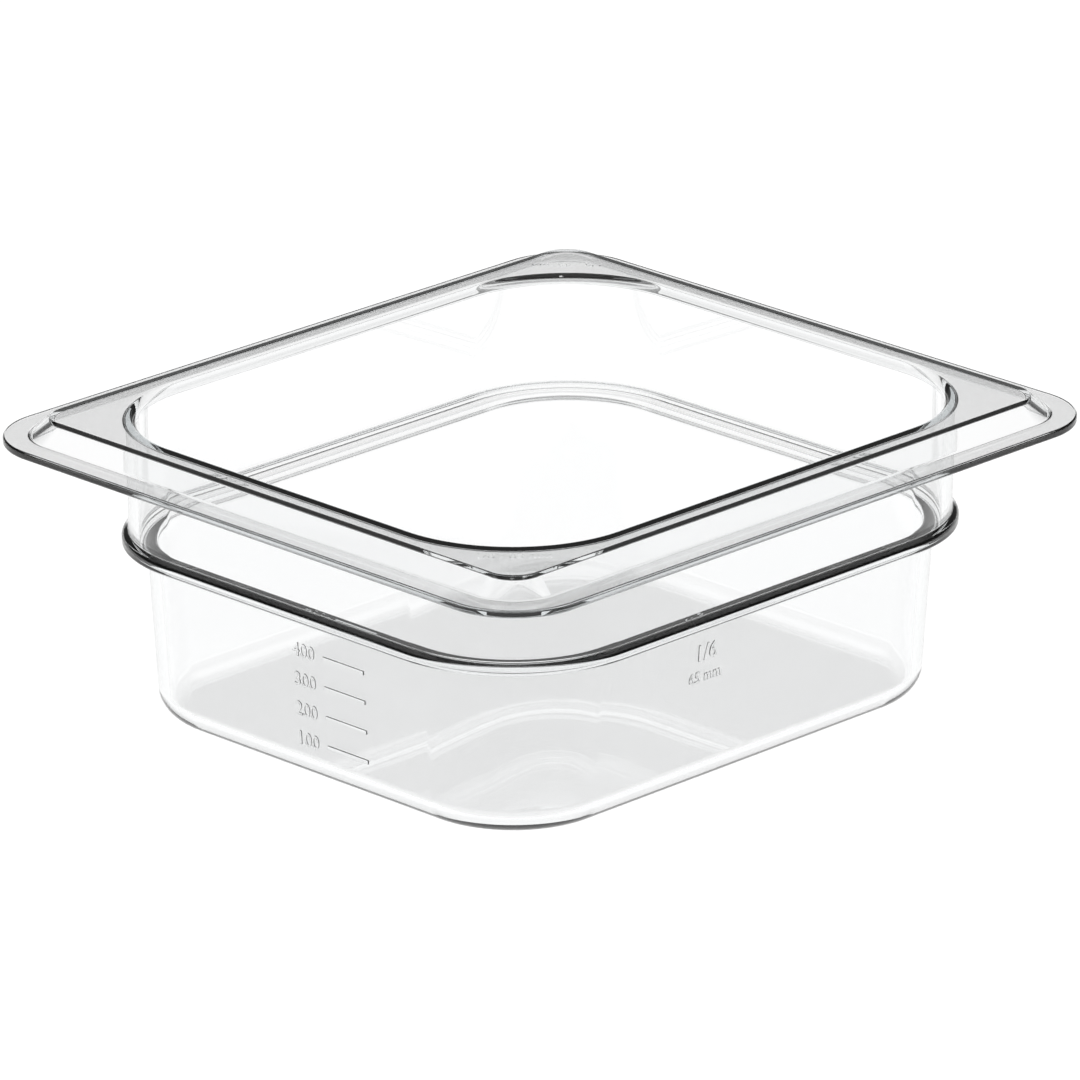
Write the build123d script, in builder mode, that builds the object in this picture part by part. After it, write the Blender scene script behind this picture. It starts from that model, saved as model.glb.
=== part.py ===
from build123d import *
import math
import os

# Clear sixth-size food pan, 65 mm deep, moulded in one piece.
# Millimetres. Origin at the centre of the underside of the floor, +Z up, +Y along the longer side.

os.makedirs("parts", exist_ok=True)

# Overall size
rim_width = 158.8  # over the lip along X (6 1/4 in)
rim_length = 176.2  # over the lip along Y (6 15/16 in)
pan_height = 65.0  # underside of the floor to the top of the rim

# Thickness of the moulding
wall_thickness = 2.23  # upper wall
lower_wall_thickness = 2.3
land_thickness = 1.89
floor_thickness = 2.5
brim_thickness = 1.7

# Rim: a flat land, a short riser down and a brim. Insets are measured inwards from the lip.
lip_corner = 16.5
rim_rise = 3.92  # land above the top of the brim
brim_width = 5.32
riser_run = 4.49
lip_edge_round = 0.5
land_edge_round = 0.58
riser_foot_round = 1.2
mouth_round = 1.74  # land into the inside of the upper wall

# Body: an upper wall, a stacking shoulder and a lower wall that narrows to the floor
corner_centre_inset = 44.2  # centre of every body corner, in from the lip
upper_wall_inset = 14.23  # outside face, just above the shoulder
upper_draft = 0.66
shoulder_drop = 25.22  # rim top to shoulder top
shoulder_height = 1.97
shoulder_overhang = 1.39  # shoulder beyond the upper wall
shoulder_slope = 0.75  # height over which the shoulder's top leans back to the upper wall
shoulder_top_round = 1.18
shoulder_foot_round = 0.35
shoulder_root_round = 1.28  # underside of the shoulder into the lower wall
ledge_drop = 0.36  # ledge inside, below the shoulder's top
lower_step = 3.77  # lower wall in from the upper wall
lower_draft = 3.6
base_round = 6.0
ledge_edge_round = 1.08
ledge_foot_round = 0.3
root_round = 0.81  # upper wall into the underside of the land

# Graduations: short raised bars on the outside of one short wall, 100 millilitres apart
mark_length = 12.0
mark_width = 0.9
mark_stand = 0.35
mark_spacing = 6.6
mark_lowest = 9.3
mark_headroom = 3.0  # plain wall kept between the highest bar and the shoulder
mark_bite = 1.0  # how far a bar reaches into the wall behind it
mark_offset = 12.0  # middle of the bars along X

# Levels and insets that follow from the sizes above
brim_top = pan_height - rim_rise
brim_bottom = brim_top - brim_thickness
land_inset = brim_width + riser_run
land_bottom = pan_height - land_thickness
shoulder_top = pan_height - shoulder_drop
shoulder_bottom = shoulder_top - shoulder_height
shoulder_inset = upper_wall_inset - shoulder_overhang
ledge_level = shoulder_top - ledge_drop
upper_slope = math.tan(math.radians(upper_draft))
lower_slope = math.tan(math.radians(lower_draft))
slope_top_inset = upper_wall_inset - shoulder_slope * upper_slope
lower_wall_inset = upper_wall_inset + lower_step
ledge_inset = upper_wall_inset + wall_thickness + ledge_drop * upper_slope
lower_cavity_inset = lower_wall_inset + lower_wall_thickness
base_inner_round = base_round - floor_thickness
pocket_inset = brim_width + land_thickness / 2
pocket_top_inset = land_inset + land_thickness / 2
mark_room = shoulder_bottom - mark_lowest - mark_headroom
mark_count = 1 + math.floor(mark_room / mark_spacing)
level_slack = 0.01  # for picking edges and faces at a level


def outline(inset, corner):
    """Rounded outline of the pan at an inset from the lip."""
    RectangleRounded(rim_width - 2 * inset, rim_length - 2 * inset, corner)


def body_outline(inset):
    """Outline whose corners share the body's corner centre."""
    outline(inset, corner_centre_inset - inset)


def rim_outline(inset):
    """Outline whose corners share the lip's corner centre."""
    outline(inset, lip_corner - inset)


with BuildPart() as rim:
    # Brim plate
    with BuildSketch(Plane.XY.offset(brim_bottom)):
        rim_outline(0)
    extrude(amount=brim_thickness)
    lip_edges = rim.edges().filter_by(Plane.XY)
    fillet(lip_edges, radius=lip_edge_round)
    # Riser and land
    with BuildSketch(Plane.XY.offset(brim_top)):
        rim_outline(brim_width)
    with BuildSketch(Plane.XY.offset(pan_height)):
        rim_outline(land_inset)
    loft()
    land_edges = rim.edges().group_by(Axis.Z)[-1]
    fillet(land_edges, radius=land_edge_round)
    # Foot of the riser
    brim_faces = rim.faces().filter_by(Plane.XY)
    brim_face = brim_faces.filter_by_position(Axis.Z, brim_top - level_slack, brim_top + level_slack)[0]
    fillet(brim_face.inner_wires()[0].edges(), radius=riser_foot_round)
    # Hollow under the riser and the land
    with BuildSketch(Plane.XY.offset(brim_bottom)):
        rim_outline(pocket_inset)
    with BuildSketch(Plane.XY.offset(land_bottom)):
        rim_outline(pocket_top_inset)
    loft(mode=Mode.SUBTRACT)

with BuildPart() as shoulder:
    with BuildSketch(Plane.XY.offset(shoulder_bottom)):
        body_outline(shoulder_inset)
    extrude(amount=shoulder_height)
    shoulder_edges = shoulder.edges().group_by(Axis.Z)
    fillet(shoulder_edges[0], radius=shoulder_foot_round)
    # Top, leaning back to the upper wall
    with BuildSketch(Plane.XY.offset(shoulder_top)):
        body_outline(shoulder_inset)
    with BuildSketch(Plane.XY.offset(shoulder_top + shoulder_slope)):
        body_outline(slope_top_inset)
    loft()
    shoulder_edges = shoulder.edges()
    brow_edges = shoulder_edges.filter_by_position(Axis.Z, shoulder_top - level_slack, shoulder_top + level_slack)
    fillet(brow_edges, radius=shoulder_top_round)

with BuildPart() as body:
    # Lower wall, narrowing down to the floor
    with BuildSketch(Plane.XY.offset(shoulder_bottom)):
        body_outline(lower_wall_inset)
    extrude(amount=-shoulder_bottom, taper=lower_draft)
    base_edges = body.edges().group_by(Axis.Z)[0]
    fillet(base_edges, radius=base_round)
    add(shoulder.part)
    level_faces = body.faces().filter_by(Plane.XY)
    under_face = level_faces.filter_by_position(Axis.Z, shoulder_bottom - level_slack, shoulder_bottom + level_slack)[0]
    fillet(under_face.inner_wires()[0].edges(), radius=shoulder_root_round)
    # Upper wall, up to the underside of the land
    with BuildSketch(Plane.XY.offset(shoulder_top)):
        body_outline(upper_wall_inset)
    extrude(amount=land_bottom - shoulder_top, taper=-upper_draft)

with BuildPart() as cavity:
    # Space inside the lower wall
    with BuildSketch(Plane.XY.offset(ledge_level)):
        body_outline(lower_cavity_inset)
    extrude(amount=floor_thickness - ledge_level, taper=lower_draft)
    floor_edges = cavity.edges().group_by(Axis.Z)[0]
    fillet(floor_edges, radius=base_inner_round)
    # Space inside the upper wall
    with BuildSketch(Plane.XY.offset(ledge_level)):
        body_outline(ledge_inset)
    extrude(amount=pan_height - ledge_level, taper=-upper_draft)

with BuildPart() as pan:
    add(rim.part)
    add(body.part)
    # Upper wall meets the underside of the land in a soft curve
    level_faces = pan.faces().filter_by(Plane.XY)
    land_under = level_faces.filter_by_position(Axis.Z, land_bottom - level_slack, land_bottom + level_slack)[0]
    fillet(land_under.inner_wires()[0].edges(), radius=root_round)
    add(cavity.part, mode=Mode.SUBTRACT)
    # Rounded mouth
    land_face = pan.faces().sort_by(Axis.Z)[-1]
    fillet(land_face.inner_wires()[0].edges(), radius=mouth_round)
    # Ledge inside the shoulder
    level_faces = pan.faces().filter_by(Plane.XY)
    step_faces = level_faces.filter_by_position(Axis.Z, ledge_level - level_slack, ledge_level + level_slack)
    ledge_face = step_faces.sort_by(lambda face: face.bounding_box().size.X)[0]
    fillet(ledge_face.inner_wires()[0].edges(), radius=ledge_edge_round)
    level_faces = pan.faces().filter_by(Plane.XY)
    step_faces = level_faces.filter_by_position(Axis.Z, ledge_level - level_slack, ledge_level + level_slack)
    ledge_face = step_faces.sort_by(lambda face: face.bounding_box().size.X)[0]
    fillet(ledge_face.outer_wire().edges(), radius=ledge_foot_round)
    # Graduation bars
    for number in range(mark_count):
        mark_level = mark_lowest + number * mark_spacing
        face_inset = lower_wall_inset + (shoulder_bottom - mark_level) * lower_slope
        face_y = face_inset - rim_length / 2
        with Locations((mark_offset, face_y - (mark_stand - mark_bite) / 2, mark_level)):
            Box(mark_length, mark_stand + mark_bite, mark_width)

pan.part.label = "pan"
export_step(pan.part, "parts/pan.step")
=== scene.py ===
"""Clear sixth-size food pan: its one moulding, its finish, and the studio it stands in."""

import logging
import math
from dataclasses import dataclass
from enum import Enum
from typing import Iterable, Sequence

import bmesh
import bpy
from mathutils import Matrix, Vector

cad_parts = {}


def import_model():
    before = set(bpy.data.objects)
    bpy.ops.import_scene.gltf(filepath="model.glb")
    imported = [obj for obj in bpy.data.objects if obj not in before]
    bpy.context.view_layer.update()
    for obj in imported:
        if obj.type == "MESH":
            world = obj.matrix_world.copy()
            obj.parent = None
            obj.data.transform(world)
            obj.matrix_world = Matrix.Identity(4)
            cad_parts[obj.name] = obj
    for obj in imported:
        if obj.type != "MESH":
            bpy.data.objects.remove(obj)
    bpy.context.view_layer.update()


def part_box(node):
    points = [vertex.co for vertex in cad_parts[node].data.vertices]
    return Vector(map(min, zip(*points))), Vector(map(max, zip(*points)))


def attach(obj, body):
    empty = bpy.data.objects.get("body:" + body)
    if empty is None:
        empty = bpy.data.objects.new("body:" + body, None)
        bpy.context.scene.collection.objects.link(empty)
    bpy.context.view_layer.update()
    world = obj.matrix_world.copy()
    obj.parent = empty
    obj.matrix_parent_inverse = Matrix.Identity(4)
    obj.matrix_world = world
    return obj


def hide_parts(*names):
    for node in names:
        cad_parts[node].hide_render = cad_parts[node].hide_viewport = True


LOG = logging.getLogger("food_pan")
MM = 0.001
CAP_HEIGHT = 0.70  # height of a figure for a text size of 1
MERGE = 0.01 * MM  # points closer than this are one
TEXT_MERGE = 0.002 * MM  # the same, for the finer points of a figure
TEXT_SLIVER = 0.005 * MM  # faces of a figure narrower than this are dropped
RIM_LIFT = 40.0 * MM  # keeps two level rims apart while they are bridged
SMOOTH_ANGLE = math.radians(35.0)  # edges sharper than this stay crisp
FLAT_WEIGHT = 50  # how strongly the flat faces set the shading
Point = tuple[float, float]


# ---------------------------------------------------------------------------
# Small tools for working in edit mode
# ---------------------------------------------------------------------------


class Side(Enum):
    """Which way a face of the pan looks: turn about Z, then tilt up from level."""

    FRONT = (0.0, 90.0)
    RIGHT = (90.0, 90.0)
    TOP = (0.0, 0.0)

    def facing(self, lean: float) -> Matrix:
        """Turn that lays flat text on the face.

        Args:
            lean: Draft of the face, in degrees.

        Returns:
            The rotation, for text that starts face up on the floor.
        """
        turn, tilt = self.value
        return Matrix.Rotation(math.radians(turn), 4, "Z") @ Matrix.Rotation(
            math.radians(tilt + lean), 4, "X"
        )


def deselect_objects() -> None:
    """Leave no object selected or active, so that an operator acts on new work only."""
    bpy.ops.object.select_all(action="DESELECT")
    bpy.context.view_layer.objects.active = None


def make_active(obj: bpy.types.Object, others: Iterable[bpy.types.Object] = ()) -> None:
    """Select an object and its helpers, and make it the active one.

    Args:
        obj: The object that operators are to act on.
        others: Objects to be selected beside it.
    """
    deselect_objects()
    for other in others:
        other.select_set(True)
    obj.select_set(True)
    bpy.context.view_layer.objects.active = obj


def apply_place(obj: bpy.types.Object) -> None:
    """Put an object's location, rotation and scale into its mesh."""
    make_active(obj)
    bpy.ops.object.transform_apply(location=True, rotation=True, scale=True)


def select_verts(obj: bpy.types.Object, chosen: Iterable[int]) -> None:
    """Select vertices by number in edit mode.

    Args:
        obj: The object in edit mode.
        chosen: The numbers of the vertices.
    """
    bpy.ops.mesh.select_all(action="DESELECT")
    mesh = bmesh.from_edit_mesh(obj.data)
    mesh.verts.ensure_lookup_table()
    for index in chosen:
        mesh.verts[index].select = True
    mesh.select_flush(True)
    bmesh.update_edit_mesh(obj.data)


def spin_on(steps: int, angle: float, centre: Vector, axis: Vector) -> None:
    """Spin the selection on about an axis.

    Args:
        steps: Straight pieces that the arc is made of.
        angle: The arc, by the right-hand rule. The operator itself counts the other way.
        centre: A point on the axis.
        axis: The direction of the axis.
    """
    bpy.ops.mesh.spin(
        steps=steps, angle=-angle, center=tuple(centre), axis=tuple(axis)
    )


def open_loops(obj: bpy.types.Object) -> list[list[int]]:
    """Find the open rims of a mesh in edit mode.

    Args:
        obj: The object in edit mode.

    Returns:
        The vertex numbers of each closed boundary loop.
    """
    mesh = bmesh.from_edit_mesh(obj.data)
    left = {edge for edge in mesh.edges if len(edge.link_faces) == 1}
    loops = []
    while left:
        edge = left.pop()
        chain = set(edge.verts)
        grew = True
        while grew:
            touching = {other for other in left if chain & set(other.verts)}
            grew = bool(touching)
            for other in touching:
                chain |= set(other.verts)
            left -= touching
        loops.append(sorted(vert.index for vert in chain))
    return loops


def loop_height(obj: bpy.types.Object, loop: Sequence[int]) -> float:
    """Mean height of some vertices of a mesh in edit mode."""
    mesh = bmesh.from_edit_mesh(obj.data)
    mesh.verts.ensure_lookup_table()
    return sum(mesh.verts[index].co.z for index in loop) / len(loop)


def bridge_level_rims(
    obj: bpy.types.Object, rim_a: Sequence[int], rim_b: Sequence[int]
) -> None:
    """Bridge two open rims, one inside the other at the same height.

    One rim is lifted while the faces are made, because two rims whose centres
    coincide give the operator no direction to bridge in.

    Args:
        obj: The object in edit mode.
        rim_a: Vertex numbers of one rim.
        rim_b: Vertex numbers of the other.
    """
    lift = Vector((0.0, 0.0, RIM_LIFT))
    select_verts(obj, rim_a)
    bpy.ops.transform.translate(value=lift)
    select_verts(obj, [*rim_a, *rim_b])
    bpy.ops.mesh.bridge_edge_loops()
    select_verts(obj, rim_a)
    bpy.ops.transform.translate(value=-lift)


# ---------------------------------------------------------------------------
# Sections of the wall
# ---------------------------------------------------------------------------


@dataclass(frozen=True)
class Corner:
    """One turn of a wall's section.

    Attributes:
        inset: Distance in from the lip, in millimetres.
        level: Height, in millimetres.
        curve: Radius that rounds the turn, in millimetres, or 0 for an end.
        steps: Straight pieces that the rounding is made of.
    """

    inset: float
    level: float
    curve: float = 0.0
    steps: int = 8


@dataclass
class SectionPen:
    """Draws a section as a chain of edges and carries it round the pan.

    Attributes:
        half: Half of the pan's width and length over the lip, in metres.
        centre_inset: Distance of the corner centres in from the lip, in millimetres.
        corner_steps: Straight pieces in each corner of the plan.
    """

    half: Point
    centre_inset: float
    corner_steps: int

    def place(self, inset: float, level: float) -> Vector:
        """Point of the section at the left end of the front side."""
        return Vector(
            (
                self.centre_inset * MM - self.half[0],
                inset * MM - self.half[1],
                level * MM,
            )
        )

    def draw(self, name: str, corners: Sequence[Corner]) -> bpy.types.Object:
        """Draw the section, then extrude and spin it once round the plan.

        Args:
            name: The name of the new object.
            corners: The turns of the section, in order.

        Returns:
            The object, with open rims at both ends of the section.
        """
        start = self.place(corners[0].inset, corners[0].level)
        deselect_objects()
        bpy.ops.mesh.primitive_plane_add(size=MM, location=start)
        obj = bpy.context.active_object
        obj.name = name
        apply_place(obj)
        bpy.ops.object.mode_set(mode="EDIT")
        bpy.context.tool_settings.mesh_select_mode = (True, False, False)
        bpy.ops.mesh.select_all(action="SELECT")
        bpy.ops.mesh.merge(type="CENTER")
        bpy.ops.mesh.select_all(action="SELECT")
        here = start
        for before, corner, after in zip(corners, corners[1:], corners[2:]):
            here = self._turn(here, before, corner, after)
        self._line(here, self.place(corners[-1].inset, corners[-1].level))
        self._carry_round()
        bpy.ops.object.mode_set(mode="OBJECT")
        return obj

    def _line(self, here: Vector, there: Vector) -> Vector:
        """Extrude the last point of the chain to a new place."""
        bpy.ops.mesh.extrude_region_move(
            TRANSFORM_OT_translate={"value": tuple(there - here)}
        )
        return there

    def _turn(
        self, here: Vector, before: Corner, corner: Corner, after: Corner
    ) -> Vector:
        """Run up to a turn and go round it on an arc that meets both sides smoothly.

        Args:
            here: The last point of the chain.
            before: The turn before this one.
            corner: The turn itself.
            after: The turn after this one.

        Returns:
            The new last point.
        """
        middle = self.place(corner.inset, corner.level)
        back = (self.place(before.inset, before.level) - middle).normalized()
        ahead = (self.place(after.inset, after.level) - middle).normalized()
        opening = back.angle(ahead)
        reach = corner.curve * MM / math.tan(opening / 2)
        begin, end = middle + back * reach, middle + ahead * reach
        centre = middle + (back + ahead).normalized() * (
            corner.curve * MM / math.sin(opening / 2)
        )
        self._line(here, begin)
        sense = (begin - centre).cross(end - centre).x
        arc = math.copysign(math.pi - opening, sense)
        spin_on(corner.steps, arc, centre, Vector((1.0, 0.0, 0.0)))
        return end

    def _carry_round(self) -> None:
        """Extrude the section along each side and spin it round each corner."""
        run = (
            2 * (self.half[0] - self.centre_inset * MM),
            2 * (self.half[1] - self.centre_inset * MM),
        )
        corner = Vector((-run[0] / 2, -run[1] / 2, 0.0))
        bpy.ops.mesh.select_all(action="SELECT")
        for step in (
            Vector((run[0], 0.0, 0.0)),
            Vector((0.0, run[1], 0.0)),
            Vector((-run[0], 0.0, 0.0)),
            Vector((0.0, -run[1], 0.0)),
        ):
            bpy.ops.mesh.extrude_region_move(
                TRANSFORM_OT_translate={"value": tuple(step)}
            )
            corner = corner + step
            spin_on(self.corner_steps, math.pi / 2, corner, Vector((0.0, 0.0, 1.0)))
        bpy.ops.mesh.select_all(action="SELECT")
        bpy.ops.mesh.remove_doubles(threshold=MERGE)


@dataclass
class PanShell:
    """The moulding of the pan: rim, walls, shoulder and floor in one closed skin.

    Sizes are in millimetres. Insets are measured inwards from the lip.
    """

    half: Point
    height: float
    corner_steps: int = 40
    wall: float = 2.23
    lower_wall: float = 2.3
    land_thickness: float = 1.89
    floor: float = 2.5
    brim_thickness: float = 1.7
    lip_corner: float = 16.5
    rim_rise: float = 3.92
    brim_width: float = 5.32
    riser_run: float = 4.49
    lip_round: float = 0.5
    riser_foot_round: float = 1.2
    land_round: float = 0.58
    pocket_foot_round: float = 0.4
    pocket_top_round: float = 0.7
    mouth_round: float = 1.74
    body_corner: float = 44.2
    upper_inset: float = 14.23
    upper_draft: float = 0.66
    root_round: float = 0.81
    shoulder_drop: float = 25.22
    shoulder_height: float = 1.97
    shoulder_overhang: float = 1.39
    shoulder_slope: float = 0.75
    slope_foot_round: float = 0.33
    shoulder_top_round: float = 1.18
    shoulder_foot_round: float = 0.35
    shoulder_root_round: float = 1.28
    ledge_drop: float = 0.36
    ledge_foot_round: float = 0.3
    ledge_edge_round: float = 1.08
    lower_step: float = 3.77
    lower_draft: float = 3.6
    floor_round: float = 3.5
    base_round: float = 6.0
    # Flat runs left at the ends of the sections, where the skins are joined or capped
    floor_run: float = 6.0
    base_run: float = 8.0
    under_run: float = 0.6
    land_run: float = 1.6
    pocket_run: float = 1.2
    cap_inset: float = 12.0

    def __post_init__(self) -> None:
        """Work out the levels that follow from the sizes."""
        self.shoulder_top = self.height - self.shoulder_drop
        self.shoulder_bottom = self.shoulder_top - self.shoulder_height
        self.ledge_level = self.shoulder_top - self.ledge_drop
        self.land_bottom = self.height - self.land_thickness
        self.land_inset = self.brim_width + self.riser_run
        self.mouth_inset = (
            self.upper_inset + self.wall - self.upper_lean(self.shoulder_drop)
        )
        self.lower_inset = self.upper_inset + self.lower_step

    def upper_lean(self, drop: float) -> float:
        """Inset that the upper wall's draft adds over a height."""
        return drop * math.tan(math.radians(self.upper_draft))

    def lower_lean(self, drop: float) -> float:
        """Inset that the lower wall's draft adds over a height."""
        return drop * math.tan(math.radians(self.lower_draft))

    def inside(self) -> list[Corner]:
        """Section from the land, round the mouth and down the inside to the floor."""
        ledge = self.upper_inset + self.wall + self.upper_lean(self.ledge_drop)
        lower = self.lower_inset + self.lower_wall
        floor = lower + self.lower_lean(self.ledge_level - self.floor)
        return [
            Corner(self.mouth_inset - self.mouth_round, self.height),
            Corner(self.mouth_inset, self.height, self.mouth_round, 16),
            Corner(ledge, self.ledge_level, self.ledge_foot_round, 10),
            Corner(lower, self.ledge_level, self.ledge_edge_round, 10),
            Corner(floor, self.floor, self.floor_round, 14),
            Corner(floor + self.floor_run, self.floor),
        ]

    def outside(self) -> list[Corner]:
        """Section from under the land, down the outside to the base."""
        root = self.upper_inset - self.upper_lean(self.land_bottom - self.shoulder_top)
        slope_top = self.upper_inset - self.upper_lean(self.shoulder_slope)
        slope_level = self.shoulder_top + self.shoulder_slope
        bead = self.upper_inset - self.shoulder_overhang
        base = self.lower_inset + self.lower_lean(self.shoulder_bottom)
        return [
            Corner(root - self.root_round - self.under_run, self.land_bottom),
            Corner(root, self.land_bottom, self.root_round, 10),
            Corner(slope_top, slope_level, self.slope_foot_round, 6),
            Corner(bead, self.shoulder_top, self.shoulder_top_round, 12),
            Corner(bead, self.shoulder_bottom, self.shoulder_foot_round, 8),
            Corner(self.lower_inset, self.shoulder_bottom, self.shoulder_root_round, 10),
            Corner(base, 0.0, self.base_round, 16),
            Corner(base + self.base_run, 0.0),
        ]

    def rim(self) -> list[Corner]:
        """Section from the land, down the riser, round the lip and back underneath."""
        brim_top = self.height - self.rim_rise
        brim_bottom = brim_top - self.brim_thickness
        pocket = self.brim_width + self.land_thickness / 2
        pocket_top = self.land_inset + self.land_thickness / 2
        return [
            Corner(self.land_inset + self.land_run, self.height),
            Corner(self.land_inset, self.height, self.land_round, 8),
            Corner(self.brim_width, brim_top, self.riser_foot_round, 8),
            Corner(0.0, brim_top, self.lip_round, 8),
            Corner(0.0, brim_bottom, self.lip_round, 8),
            Corner(pocket, brim_bottom, self.pocket_foot_round, 6),
            Corner(pocket_top, self.land_bottom, self.pocket_top_round, 6),
            Corner(pocket_top + self.pocket_run, self.land_bottom),
        ]

    def build(self, name: str) -> bpy.types.Object:
        """Build the closed skin.

        Args:
            name: The name of the new object.

        Returns:
            The object, in place, with its faces pointing outwards.
        """
        body_pen = SectionPen(self.half, self.body_corner, self.corner_steps)
        rim_pen = SectionPen(self.half, self.lip_corner, self.corner_steps)
        inside = body_pen.draw("inside_skin", self.inside())
        outside = body_pen.draw("outside_skin", self.outside())
        shell = rim_pen.draw(name, self.rim())
        make_active(shell, (inside, outside))
        bpy.ops.object.join()
        bpy.ops.object.mode_set(mode="EDIT")
        loops = sorted(open_loops(shell), key=lambda loop: loop_height(shell, loop))
        base, floor, under_a, under_b, land_a, land_b = loops
        for rim_a, rim_b in ((under_a, under_b), (land_a, land_b)):
            bridge_level_rims(shell, rim_a, rim_b)
        for cap in (base, floor):
            select_verts(shell, cap)
            bpy.ops.mesh.edge_face_add()
            bpy.ops.mesh.inset(thickness=self.cap_inset * MM)
        bpy.ops.mesh.select_all(action="SELECT")
        bpy.ops.mesh.remove_doubles(threshold=MERGE)
        bpy.ops.mesh.normals_make_consistent(inside=False)
        bpy.ops.object.mode_set(mode="OBJECT")
        return shell

    def wall_inset(self, level: float) -> float:
        """Inset of the lower wall's outside face at a height."""
        return self.lower_inset + self.lower_lean(self.shoulder_bottom - level)

    def land_corner(self) -> Point:
        """Point on the flat land, two thirds of the way in, at the +X +Y corner."""
        fold = self.lip_corner + (self.land_inset - self.lip_corner) * math.sqrt(0.5)
        opening = self.mouth_inset - self.mouth_round
        mouth = self.body_corner + (opening - self.body_corner) * math.sqrt(0.5)
        inset = (fold + 2 * mouth) / 3
        return (self.half[0] / MM - inset, self.half[1] / MM - inset)


# ---------------------------------------------------------------------------
# Raised marks
# ---------------------------------------------------------------------------


@dataclass(frozen=True)
class Lettering:
    """Generic raised figures moulded into a face.

    Attributes:
        text: The figures, such as a volume or a size.
        height: Height of the figures, in millimetres.
        at: Their middle on the pan, in millimetres.
        side: Which way the face looks.
        lean: Draft of the face, in degrees. A wall's foot is further in than its top.
        turn: Turn of the text about the face's own normal, in degrees.
    """

    text: str
    height: float
    at: tuple[float, float, float]
    side: Side
    lean: float = 0.0
    turn: float = 0.0


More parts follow.
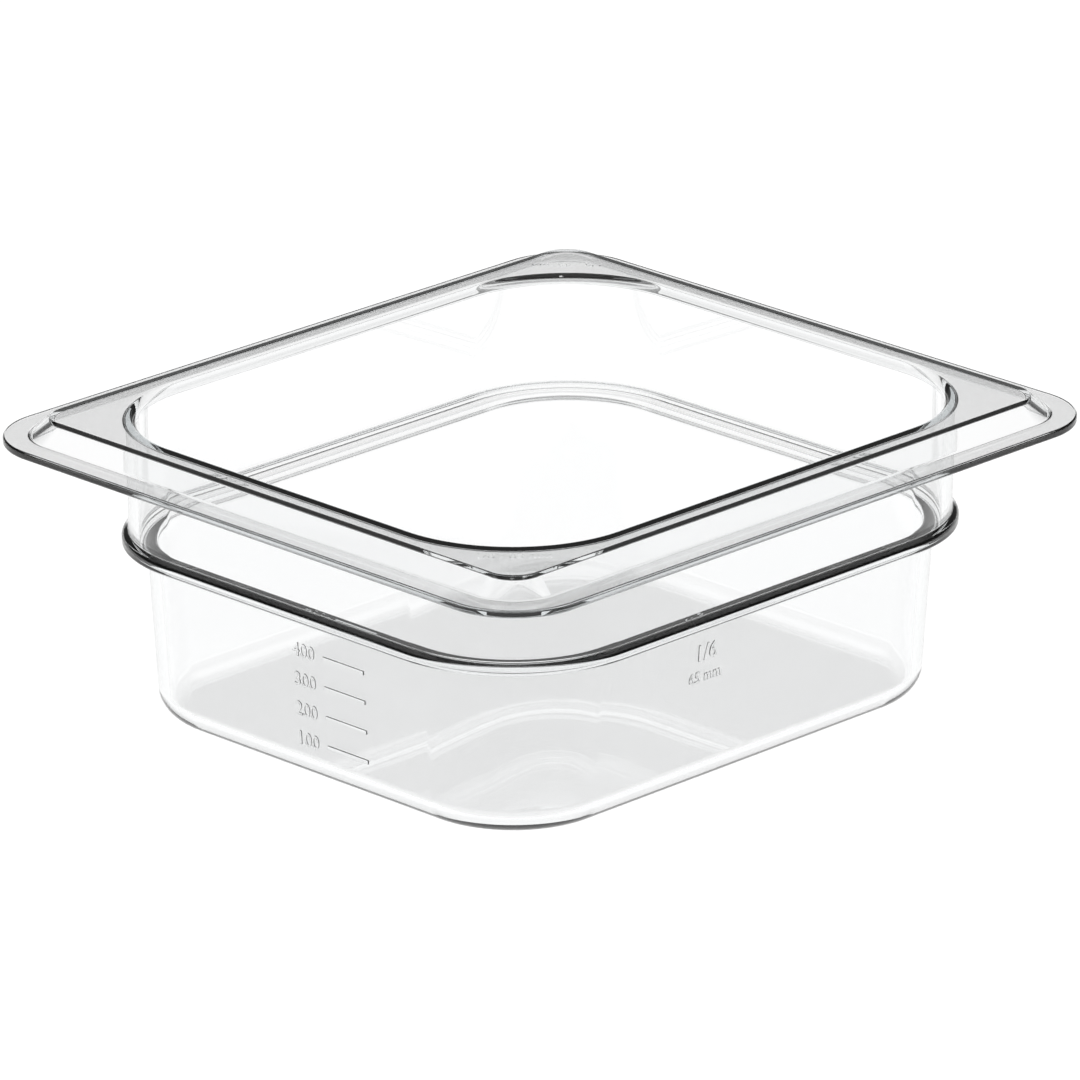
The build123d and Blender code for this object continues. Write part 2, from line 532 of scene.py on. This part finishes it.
@dataclass
class RaisedMarks:
    """The graduations on one short wall and the size marks elsewhere on the moulding.

    Sizes are in millimetres.
    """

    shell: PanShell
    stand: float = 0.35
    text_stand: float = 0.25
    bite: float = 1.0
    bar_length: float = 12.0
    bar_width: float = 0.9
    bar_spacing: float = 6.6
    bar_lowest: float = 9.3
    bar_middle: float = 12.0
    bar_headroom: float = 3.0
    bar_soften: float = 0.14
    figure_height: float = 3.0
    figure_gap: float = 5.6
    size_along: float = -14.0
    # Text, height of the text and level of each size mark on the long wall
    size_marks: tuple[tuple[str, float, float], ...] = (
        ("1/6", 3.6, 30.2),
        ("65 mm", 2.4, 25.0),
    )
    land_mark: str = "1/6 - 65 mm"
    land_mark_height: float = 2.2
    step_ml: int = 100

    def bar_levels(self) -> list[float]:
        """Heights of the graduation bars that fit below the shoulder."""
        room = self.shell.shoulder_bottom - self.bar_lowest - self.bar_headroom
        count = 1 + math.floor(room / self.bar_spacing)
        return [self.bar_lowest + number * self.bar_spacing for number in range(count)]

    def bar(self, level: float) -> bpy.types.Object:
        """One graduation bar, its end edges rounded, sunk into the short wall.

        Args:
            level: Height of its middle.

        Returns:
            The bar, in place.
        """
        face = self.shell.wall_inset(level) - self.shell.half[1] / MM
        depth = self.stand + self.bite
        out = face - (self.stand - self.bite) / 2
        middle = Vector((self.bar_middle, out, level)) * MM
        deselect_objects()
        bpy.ops.mesh.primitive_cube_add(size=1.0, location=middle)
        obj = bpy.context.active_object
        obj.name = "graduation_bar"
        obj.scale = Vector((self.bar_length, depth, self.bar_width)) * MM
        apply_place(obj)
        soften = obj.modifiers.new("Soften", "BEVEL")
        soften.width = self.bar_soften * MM
        soften.segments = 2
        bpy.ops.object.modifier_apply(modifier=soften.name)
        return obj

    def figures(self, mark: Lettering) -> bpy.types.Object:
        """Raised figures, sunk into the face that they stand on.

        Args:
            mark: What the figures say and where they are.

        Returns:
            The figures as one closed mesh, in place.
        """
        deselect_objects()
        bpy.ops.object.text_add(location=(0.0, 0.0, 0.0))
        obj = bpy.context.active_object
        obj.name = "moulded_figures"
        obj.data.body = mark.text
        obj.data.size = mark.height * MM / CAP_HEIGHT
        obj.data.align_x = "CENTER"
        obj.data.align_y = "CENTER"
        obj.data.resolution_u = 4
        obj.data.extrude = (self.text_stand + self.bite) / 2 * MM
        bpy.ops.object.convert(target="MESH")
        bpy.ops.object.mode_set(mode="EDIT")
        bpy.ops.mesh.select_all(action="SELECT")
        bpy.ops.mesh.remove_doubles(threshold=TEXT_MERGE)
        for _ in range(2):  # the fill leaves slivers, one behind the other
            bpy.ops.mesh.dissolve_degenerate(threshold=TEXT_SLIVER)
        bpy.ops.mesh.normals_make_consistent(inside=False)
        bpy.ops.object.mode_set(mode="OBJECT")
        shift = (self.text_stand - self.bite) / 2 * MM
        place = Matrix.Translation(Vector(mark.at) * MM) @ mark.side.facing(mark.lean)
        spot = Matrix.Rotation(math.radians(mark.turn), 4, "Z") @ Matrix.Translation(
            (0.0, 0.0, shift)
        )
        obj.matrix_world = place @ spot
        apply_place(obj)
        return obj

    def lettering(self) -> list[Lettering]:
        """All the figures: volumes by the bars, the size on a long wall and on the land."""
        half_x, half_y = (value / MM for value in self.shell.half)
        marks = []
        beside = self.bar_middle - self.bar_length / 2 - self.figure_gap
        draft = self.shell.lower_draft
        for number, level in enumerate(self.bar_levels(), start=1):
            face = self.shell.wall_inset(level) - half_y
            marks.append(
                Lettering(
                    str(number * self.step_ml),
                    self.figure_height,
                    (beside, face, level),
                    Side.FRONT,
                    draft,
                )
            )
        for text, height, level in self.size_marks:
            face = half_x - self.shell.wall_inset(level)
            at = (face, self.size_along, level)
            marks.append(Lettering(text, height, at, Side.RIGHT, draft))
        corner = self.shell.land_corner()
        for sign, turn in ((1.0, 45.0), (-1.0, 225.0)):
            at = (sign * corner[0], -sign * corner[1], self.shell.height)
            marks.append(
                Lettering(self.land_mark, self.land_mark_height, at, Side.TOP, turn=turn)
            )
        return marks

    def press_into(self, pan: bpy.types.Object) -> None:
        """Join every mark to the moulding.

        Args:
            pan: The finished skin of the pan.
        """
        stamps = [self.bar(level) for level in self.bar_levels()]
        stamps += [self.figures(mark) for mark in self.lettering()]
        make_active(stamps[0], stamps[1:])
        bpy.ops.object.join()
        stamp = bpy.context.active_object
        make_active(pan)
        union = pan.modifiers.new("Marks", "BOOLEAN")
        union.operation = "UNION"
        union.solver = "EXACT"
        union.object = stamp
        bpy.ops.object.modifier_apply(modifier=union.name)
        make_active(stamp)
        bpy.ops.object.delete()


# ---------------------------------------------------------------------------
# Finishes
# ---------------------------------------------------------------------------


def linear(code: str) -> tuple[float, float, float, float]:
    """Turn an sRGB hex colour into the linear colour that a socket takes.

    Args:
        code: Six hexadecimal digits.

    Returns:
        Red, green, blue and an alpha of 1.
    """
    parts = [int(code[at : at + 2], 16) / 255.0 for at in (0, 2, 4)]
    red, green, blue = (
        part / 12.92 if part <= 0.04045 else ((part + 0.055) / 1.055) ** 2.4
        for part in parts
    )
    return (red, green, blue, 1.0)


def add_node(
    tree: bpy.types.NodeTree,
    kind: str,
    settings: dict[str, object] | None = None,
    **inputs: object,
) -> bpy.types.Node:
    """Add a node with its settings, values and links.

    Args:
        tree: The node tree.
        kind: The node's type.
        settings: Properties of the node itself.
        **inputs: A value or another node's output for each input, an underscore
            standing for a space in its name, or _ and its number.

    Returns:
        The new node.
    """
    node = tree.nodes.new(kind)
    for name, value in (settings or {}).items():
        setattr(node, name, value)
    for name, value in inputs.items():
        number = name[1:]
        key = int(number) if number.isdigit() else name.replace("_", " ")
        socket = node.inputs[key]
        if isinstance(value, bpy.types.NodeSocket):
            tree.links.new(value, socket)
        else:
            socket.default_value = value
    return node


@dataclass(frozen=True)
class MouldedPolycarbonate:
    """Clear polycarbonate, injection moulded in a polished steel tool.

    It is water clear, bends light more than glass does, and keeps its gloss. The
    tool's polish and the flow of the melt leave the walls very slightly wavy, and
    washing and stacking leave fine hairlines and a faint haze. Lengths are in
    millimetres.

    Attributes:
        name: The finish, by its real name and process.
        colour: Surface tint.
        ior: Refractive index of polycarbonate.
        depth_tint: Colour that a long path through the wall takes on.
        depth_density: Strength of that tint, per metre.
        polish: Roughness of clean, polished plastic.
        haze: Roughness that a hairline adds.
        wave_mm: Length of the slow waves that cooling leaves in a wall.
        wave_height_mm: Height of those waves.
        flow_mm: Length of the finer ripple that the melt's flow leaves.
        flow_height_mm: Height of that ripple.
        hairline_mm: Gap between hairlines, coarser than life so that they show.
        hairline_run_mm: Length of a hairline.
        smudge_mm: Width of a patch dulled by handling.
        smudge_span: Noise values between which a smudge sets in.
        smudge_dulling: How many times rougher than the polish a smudge is.
        hairline_span: Noise values between which a hairline sets in.
        hairline_slants: Slants of the two sets of hairlines, in degrees.
    """

    name: str = "clear_moulded_polycarbonate"
    colour: str = "FEFEFE"
    ior: float = 1.585
    depth_tint: str = "EEF1F2"
    depth_density: float = 60.0
    polish: float = 0.004
    haze: float = 0.05
    wave_mm: float = 26.0
    wave_height_mm: float = 0.010
    flow_mm: float = 7.0
    flow_height_mm: float = 0.0008
    hairline_mm: float = 0.5
    hairline_run_mm: float = 22.0
    smudge_mm: float = 38.0
    smudge_span: Point = (0.52, 0.78)
    smudge_dulling: float = 4.0
    hairline_span: Point = (0.68, 0.80)
    hairline_slants: Point = (32.0, -57.0)

    def build(self) -> bpy.types.Material:
        """Build the material from Object coordinates in metres."""
        material = bpy.data.materials.new(self.name)
        material.use_nodes = True
        tree = material.node_tree
        tree.nodes.clear()
        place = add_node(tree, "ShaderNodeTexCoord").outputs["Object"]
        wave = add_node(
            tree, "ShaderNodeTexNoise", Vector=place,
            Scale=1.0 / (self.wave_mm * MM), Detail=1.0, Roughness=0.4,
        )
        flow = add_node(
            tree, "ShaderNodeTexNoise", Vector=place,
            Scale=1.0 / (self.flow_mm * MM), Detail=1.0, Roughness=0.5,
        )
        slow = add_node(
            tree, "ShaderNodeBump", Strength=1.0,
            Distance=self.wave_height_mm * MM, Height=wave.outputs["Fac"],
        )
        quick = add_node(
            tree, "ShaderNodeBump", Strength=1.0,
            Distance=self.flow_height_mm * MM, Height=flow.outputs["Fac"],
            Normal=slow.outputs["Normal"],
        )
        shader = add_node(
            tree, "ShaderNodeBsdfPrincipled",
            Base_Color=linear(self.colour), IOR=self.ior, Metallic=0.0,
            Transmission_Weight=1.0, Roughness=self._roughness(tree, place),
            Normal=quick.outputs["Normal"],
        )
        depth = add_node(
            tree, "ShaderNodeVolumeAbsorption",
            Color=linear(self.depth_tint), Density=self.depth_density,
        )
        add_node(
            tree, "ShaderNodeOutputMaterial",
            Surface=shader.outputs["BSDF"], Volume=depth.outputs["Volume"],
        )
        return material

    def _roughness(
        self, tree: bpy.types.NodeTree, place: bpy.types.NodeSocket
    ) -> bpy.types.NodeSocket:
        """Polish, broken by soft smudges and by hairlines that cross at two slants."""
        smudge = add_node(
            tree, "ShaderNodeTexNoise", Vector=place,
            Scale=1.0 / (self.smudge_mm * MM), Detail=3.0, Roughness=0.55,
        )
        worn = add_node(
            tree, "ShaderNodeMapRange", Value=smudge.outputs["Fac"],
            From_Min=self.smudge_span[0], From_Max=self.smudge_span[1],
            To_Min=self.polish, To_Max=self.polish * self.smudge_dulling,
        ).outputs["Result"]
        for slant in self.hairline_slants:
            turned = add_node(
                tree, "ShaderNodeMapping", Vector=place,
                Rotation=(
                    math.radians(slant), math.radians(slant / 2), math.radians(slant)
                ),
                Scale=(
                    1.0 / (self.hairline_mm * MM),
                    1.0 / (self.hairline_run_mm * MM),
                    1.0 / (self.hairline_run_mm * MM),
                ),
            )
            lines = add_node(
                tree, "ShaderNodeTexNoise", Vector=turned.outputs["Vector"],
                Scale=1.0, Detail=2.0, Roughness=0.6,
            )
            marks = add_node(
                tree, "ShaderNodeMapRange", Value=lines.outputs["Fac"],
                From_Min=self.hairline_span[0], From_Max=self.hairline_span[1],
                To_Min=0.0, To_Max=self.haze,
            )
            worn = add_node(
                tree, "ShaderNodeMath", {"operation": "ADD"},
                _0=worn, _1=marks.outputs["Result"],
            ).outputs["Value"]
        return worn

    def dress(self, pan: bpy.types.Object) -> None:
        """Give the pan this finish and no other."""
        pan.data.materials.clear()
        pan.data.materials.append(self.build())


# ---------------------------------------------------------------------------
# Studio
# ---------------------------------------------------------------------------


@dataclass(frozen=True)
class SkyBand:
    """One height band of the studio's light dome.

    Attributes:
        elevation: Height above the horizon, in degrees.
        brightness: Brightness there, for a floor of 1.
    """

    elevation: float
    brightness: float


@dataclass
class Studio:
    """A pale floor, a soft light dome and the camera.

    The dome is white at the horizon, dark above it and light again higher up. Lengths
    are in metres, except the lens, in millimetres, and angles are in degrees.
    """

    floor_reach: float = 6.0
    floor_drop: float = 0.2 * MM
    floor_glow: float = 1.05
    bands: tuple[SkyBand, ...] = (
        SkyBand(-90.0, 1.0),
        SkyBand(5.0, 1.0),
        SkyBand(9.0, 0.12),
        SkyBand(36.0, 0.10),
        SkyBand(44.0, 0.60),
        SkyBand(54.0, 1.0),
        SkyBand(64.0, 0.35),
        SkyBand(78.0, 0.75),
    )
    azimuth: float = 44.60
    elevation: float = 21.03
    distance: float = 2.14313
    lens: float = 340.58
    far_clip: float = 50.0
    aim: tuple[float, float, float] = (-0.00022, -0.00022, 0.0351)
    light_bounces: int = 32

    def build(self) -> None:
        """Build the floor, the dome and the camera."""
        self._floor()
        self._dome()
        self._camera()
        scene = bpy.context.scene
        scene.view_settings.view_transform = "Standard"
        scene.cycles.max_bounces = self.light_bounces
        scene.cycles.transmission_bounces = self.light_bounces

    def _floor(self) -> None:
        """A wide pale sheet, just under the pan."""
        deselect_objects()
        bpy.ops.mesh.primitive_plane_add(
            size=2 * self.floor_reach, location=(0.0, 0.0, -self.floor_drop)
        )
        floor = bpy.context.active_object
        floor.name = "studio_floor"
        apply_place(floor)
        material = bpy.data.materials.new("pale_floor")
        material.use_nodes = True
        tree = material.node_tree
        tree.nodes.clear()
        shader = add_node(
            tree, "ShaderNodeBsdfPrincipled",
            Base_Color=linear("404040"), Roughness=1.0, Specular_IOR_Level=0.0,
            Emission_Color=linear("FFFFFF"), Emission_Strength=self.floor_glow,
        )
        add_node(tree, "ShaderNodeOutputMaterial", Surface=shader.outputs["BSDF"])
        floor.data.materials.append(material)

    def _dome(self) -> None:
        """World light that changes only with height."""
        world = bpy.data.worlds.new("studio_dome")
        world.use_nodes = True
        tree = world.node_tree
        tree.nodes.clear()
        way = add_node(tree, "ShaderNodeTexCoord").outputs["Generated"]
        up = add_node(tree, "ShaderNodeSeparateXYZ", Vector=way).outputs["Z"]
        share = add_node(
            tree, "ShaderNodeMapRange", Value=up,
            From_Min=-1.0, From_Max=1.0, To_Min=0.0, To_Max=1.0,
        )
        ramp = add_node(tree, "ShaderNodeValToRGB", Fac=share.outputs["Result"])
        stops = ramp.color_ramp.elements
        while len(stops) < len(self.bands):
            stops.new(1.0)
        for stop, band in zip(stops, self.bands):
            stop.position = (math.sin(math.radians(band.elevation)) + 1.0) / 2.0
            stop.color = (band.brightness, band.brightness, band.brightness, 1.0)
        light = add_node(
            tree, "ShaderNodeBackground", Color=ramp.outputs["Color"], Strength=1.0
        )
        add_node(tree, "ShaderNodeOutputWorld", Surface=light.outputs["Background"])
        bpy.context.scene.world = world

    def _camera(self) -> None:
        """A long lens that looks down on the near corner."""
        turn, rise = math.radians(self.azimuth), math.radians(self.elevation)
        out = Vector(
            (
                math.sin(turn) * math.cos(rise),
                -math.cos(turn) * math.cos(rise),
                math.sin(rise),
            )
        )
        data = bpy.data.cameras.new("camera")
        data.lens = self.lens
        data.clip_end = self.far_clip
        camera = bpy.data.objects.new("camera", data)
        bpy.context.scene.collection.objects.link(camera)
        camera.location = out * self.distance
        look = Vector(self.aim) - camera.location
        camera.rotation_euler = look.to_track_quat("-Z", "Y").to_euler()
        bpy.context.scene.camera = camera


def smooth(pan: bpy.types.Object) -> None:
    """Smooth the rounded parts and keep the flat faces flat."""
    make_active(pan)
    bpy.ops.object.shade_smooth_by_angle(angle=SMOOTH_ANGLE)
    weigh = pan.modifiers.new("Flats", "WEIGHTED_NORMAL")
    weigh.mode = "FACE_AREA"
    weigh.weight = FLAT_WEIGHT
    weigh.keep_sharp = True
    bpy.ops.object.modifier_apply(modifier=weigh.name)


def main() -> None:
    """Build the pan and its studio, and report each piece."""
    logging.basicConfig(level=logging.INFO, format="%(message)s")
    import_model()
    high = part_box("pan")[1]
    shell = PanShell((float(high[0]), float(high[1])), float(high[2]) / MM)
    pan = shell.build("clear_pan")
    RaisedMarks(shell).press_into(pan)
    smooth(pan)
    MouldedPolycarbonate().dress(pan)
    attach(pan, "root")
    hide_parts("pan")
    LOG.info("%s: %d faces", pan.name, len(pan.data.polygons))
    Studio().build()


if __name__ == "__main__":
    main()
